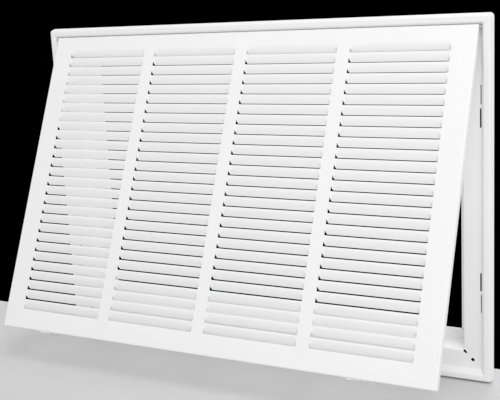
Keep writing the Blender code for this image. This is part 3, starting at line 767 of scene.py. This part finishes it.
def powder_coat_group():
    """Node group: baked powder coat. Fine ripples, and slow drifts of colour and gloss."""
    existing = bpy.data.node_groups.get("powder coat")
    if existing:
        return existing
    group = bpy.data.node_groups.new("powder coat", "ShaderNodeTree")
    socket(group, "Color", "INPUT", "NodeSocketColor", (0.8, 0.8, 0.8, 1))
    socket(group, "Roughness", "INPUT", "NodeSocketFloat", 0.4)
    socket(group, "Ripple Scale", "INPUT", "NodeSocketFloat", 700.0)
    socket(group, "Color", "OUTPUT", "NodeSocketColor")
    socket(group, "Roughness", "OUTPUT", "NodeSocketFloat")
    socket(group, "Height", "OUTPUT", "NodeSocketFloat")
    link = group.links.new
    given = node(group, "NodeGroupInput", -900, 0)
    result = node(group, "NodeGroupOutput", 500, 0)
    place = node(group, "ShaderNodeTexCoord", -900, -300)
    ripple = noise(group, -500, -300, detail=2.0)
    drift = noise(group, -500, 0, detail=3.0, scale=COLOUR_DRIFT_SCALE)
    cloud = noise(group, -500, 300, detail=4.0, scale=GLOSS_CLOUD_SCALE)
    for texture in (ripple, drift, cloud):
        link(place.outputs["Object"], texture.inputs["Vector"])

    link(given.outputs["Ripple Scale"], ripple.inputs["Scale"])
    link(ripple.outputs["Fac"], result.inputs["Height"])

    deeper = node(group, "ShaderNodeHueSaturation", -250, 250)
    deeper.inputs["Value"].default_value = COLOUR_DRIFT
    tint = node(group, "ShaderNodeMix", 0, 200, data_type="RGBA")
    link(given.outputs["Color"], deeper.inputs["Color"])
    link(drift.outputs["Fac"], tint.inputs["Factor"])
    link(given.outputs["Color"], tint.inputs["A"])
    link(deeper.outputs["Color"], tint.inputs["B"])
    link(tint.outputs["Result"], result.inputs["Color"])

    gloss = spread(group, -250, 0, -GLOSS_DRIFT, GLOSS_DRIFT)
    rough = node(group, "ShaderNodeMath", 0, 0, operation="ADD")
    link(cloud.outputs["Fac"], gloss.inputs["Value"])
    link(given.outputs["Roughness"], rough.inputs[0])
    link(gloss.outputs["Result"], rough.inputs[1])
    link(rough.outputs["Value"], result.inputs["Roughness"])
    return group


def new_material(name):
    """A material with its nodes, their tree and its Principled shader."""
    material = bpy.data.materials.new(name)
    material.use_nodes = True
    tree = material.node_tree
    return material, tree, tree.nodes["Principled BSDF"]


def coat_material(context, name):
    """White powder coat on steel."""
    finish = context.scene.grille_finish
    material, tree, shader = new_material(name)
    coat = node(tree, "ShaderNodeGroup", -500, 200)
    coat.node_tree = powder_coat_group()
    coat.inputs["Color"].default_value = (*finish.coat, 1.0)
    coat.inputs["Roughness"].default_value = finish.coat_roughness
    coat.inputs["Ripple Scale"].default_value = 1.0 / finish.peel_size
    bump = node(tree, "ShaderNodeBump", -250, -100)
    bump.inputs["Distance"].default_value = finish.peel_height
    tree.links.new(coat.outputs["Color"], shader.inputs["Base Color"])
    tree.links.new(coat.outputs["Roughness"], shader.inputs["Roughness"])
    tree.links.new(coat.outputs["Height"], bump.inputs["Height"])
    tree.links.new(bump.outputs["Normal"], shader.inputs["Normal"])
    shader.inputs["IOR"].default_value = COAT_IOR
    return material


def plate_material(context, name):
    """Bright zinc plate with finely clouded gloss."""
    material, tree, shader = new_material(name)
    shader.inputs["Base Color"].default_value = (*context.scene.grille_finish.plate, 1.0)
    shader.inputs["Metallic"].default_value = 1.0
    place = node(tree, "ShaderNodeTexCoord", -900, 0)
    cloud = noise(tree, -650, 0, detail=4.0, scale=PLATE_CLOUD_SCALE)
    gloss = spread(tree, -350, 0, *PLATE_ROUGHNESS)
    tree.links.new(place.outputs["Object"], cloud.inputs["Vector"])
    tree.links.new(cloud.outputs["Fac"], gloss.inputs["Value"])
    tree.links.new(gloss.outputs["Result"], shader.inputs["Roughness"])
    return material


class GRILLE_OT_latches(bpy.types.Operator):
    """Coat the two latch strips"""

    bl_idname = "grille.latches"
    bl_label = "Latches"

    def execute(self, context):
        material = coat_material(context, "white powder coat, latch")
        for name in ("latch_left", "latch_right"):
            dress(frame["nodes"][name], material)
        return {"FINISHED"}


class GRILLE_OT_pins_and_rivets(bpy.types.Operator):
    """Plate the hinge pins and the latch rivets"""

    bl_idname = "grille.pins_and_rivets"
    bl_label = "Pins and Rivets"

    def execute(self, context):
        material = plate_material(context, "zinc plate")
        for name, thing in frame["nodes"].items():
            if name.startswith(("hinge_pin", "latch_rivet")):
                dress(thing, material)
                shade_between_sharp_edges(thing.data)
        return {"FINISHED"}


def add_lamp(name, power, size, place, target):
    """A round soft lamp at place, with its beam towards target."""
    lamp = bpy.data.objects.new(name, bpy.data.lights.new(name, "AREA"))
    lamp.data.shape = "DISK"
    lamp.data.size = size
    lamp.data.energy = power
    away = np.array(place) - np.array(target)
    azimuth = math.atan2(away[0], -away[1])
    polar = math.atan2(math.hypot(away[0], away[1]), away[2])
    lamp.location = place
    lamp.rotation_euler = (polar, 0.0, azimuth)
    lamp.visible_camera = False
    bpy.context.scene.collection.objects.link(lamp)


def add_floor(settings):
    """A plain pale floor level with the frame's bottom, from the room to just past the well."""
    left, right, level = -FLOOR_HALF_WIDTH, FLOOR_HALF_WIDTH, FRAME_LOW.z
    corners = np.array(
        [
            (left, FLOOR_FRONT, level),
            (right, FLOOR_FRONT, level),
            (right, FLOOR_BACK, level),
            (left, FLOOR_BACK, level),
        ]
    )
    floor = new_piece("floor", corners, [np.arange(4)])
    material, _, shader = new_material("floor")
    shader.inputs["Base Color"].default_value = (*settings.floor, 1.0)
    shader.inputs["Roughness"].default_value = FLOOR_ROUGHNESS
    dress(floor, material)


def light_the_world(settings):
    """Even white light from all round, which the camera sees as a dark backdrop."""
    world = bpy.data.worlds.new("studio")
    bpy.context.scene.world = world
    world.use_nodes = True
    tree = world.node_tree
    tree.nodes.clear()
    output = node(tree, "ShaderNodeOutputWorld", 400, 0)
    mix = node(tree, "ShaderNodeMixShader", 200, 0)
    path = node(tree, "ShaderNodeLightPath", 0, 200)
    lit = node(tree, "ShaderNodeBackground", 0, 0)
    lit.inputs["Color"].default_value = (1, 1, 1, 1)
    lit.inputs["Strength"].default_value = settings.fill
    dark = node(tree, "ShaderNodeBackground", 0, -150)
    dark.inputs["Color"].default_value = (0, 0, 0, 1)
    tree.links.new(path.outputs["Is Camera Ray"], mix.inputs["Fac"])
    tree.links.new(lit.outputs["Background"], mix.inputs[1])
    tree.links.new(dark.outputs["Background"], mix.inputs[2])
    tree.links.new(mix.outputs["Shader"], output.inputs["Surface"])


def add_camera(settings):
    """The camera that the scene is seen through."""
    camera = bpy.data.objects.new("camera", bpy.data.cameras.new("camera"))
    camera.data.sensor_width = SENSOR_WIDTH
    camera.data.lens = settings.lens
    camera.location = CAMERA_PLACE
    camera.rotation_euler = [math.radians(turn) for turn in CAMERA_TURN_DEGREES]
    bpy.context.scene.collection.objects.link(camera)
    bpy.context.scene.camera = camera


class GRILLE_OT_stage(bpy.types.Operator):
    """Set the floor, the lamps and the camera"""

    bl_idname = "grille.stage"
    bl_label = "Stage"

    def execute(self, context):
        settings = context.scene.grille_stage
        add_floor(settings)
        light_the_world(settings)
        add_lamp("key lamp", settings.key_power, KEY_SIZE, KEY_PLACE, KEY_AIM)
        add_lamp("low lamp", settings.low_power, LOW_SIZE, LOW_PLACE, LOW_AIM)
        add_lamp("back lamp", settings.back_power, BACK_SIZE, BACK_PLACE, BACK_AIM)
        add_camera(settings)
        context.scene.view_settings.view_transform = "Standard"
        return {"FINISHED"}


class GRILLE_PT_panel(bpy.types.Panel):
    """Sidebar panel that lists the grille's pieces and their sizes"""

    bl_idname = "GRILLE_PT_panel"
    bl_label = "Filter Grille"
    bl_space_type = "VIEW_3D"
    bl_region_type = "UI"
    bl_category = "Grille"

    def draw(self, context):
        layout = self.layout
        for operator in OPERATORS:
            layout.operator(operator.bl_idname)
        for owner in SETTINGS:
            group = getattr(context.scene, owner)
            box = layout.box()
            for name in group.bl_rna.properties.keys():
                if name not in ("rna_type", "name"):
                    box.prop(group, name)


SETTINGS = {
    "grille_frame": GrilleFrameSizes,
    "grille_door": GrilleDoorSizes,
    "grille_finish": GrilleFinish,
    "grille_stage": GrilleStageSettings,
}
OPERATORS = (
    GRILLE_OT_wall_frame,
    GRILLE_OT_louvred_door,
    GRILLE_OT_latches,
    GRILLE_OT_pins_and_rivets,
    GRILLE_OT_stage,
)
CLASSES = (*SETTINGS.values(), *OPERATORS, GRILLE_PT_panel)


def register():
    """Makes the classes known to Blender, and gives the scene its groups of sizes."""
    for kind in CLASSES:
        bpy.utils.register_class(kind)
    for name, kind in SETTINGS.items():
        setattr(bpy.types.Scene, name, bpy.props.PointerProperty(type=kind))


def unregister():
    """Takes back what register does, in the opposite order."""
    for name in SETTINGS:
        delattr(bpy.types.Scene, name)
    for kind in CLASSES[::-1]:
        bpy.utils.unregister_class(kind)


def main():
    """Builds the pieces and the stage."""
    register()
    bpy.ops.grille.wall_frame()
    bpy.ops.grille.louvred_door()
    bpy.ops.grille.latches()
    bpy.ops.grille.pins_and_rivets()
    bpy.ops.grille.stage()


if __name__ == "__main__":
    main()
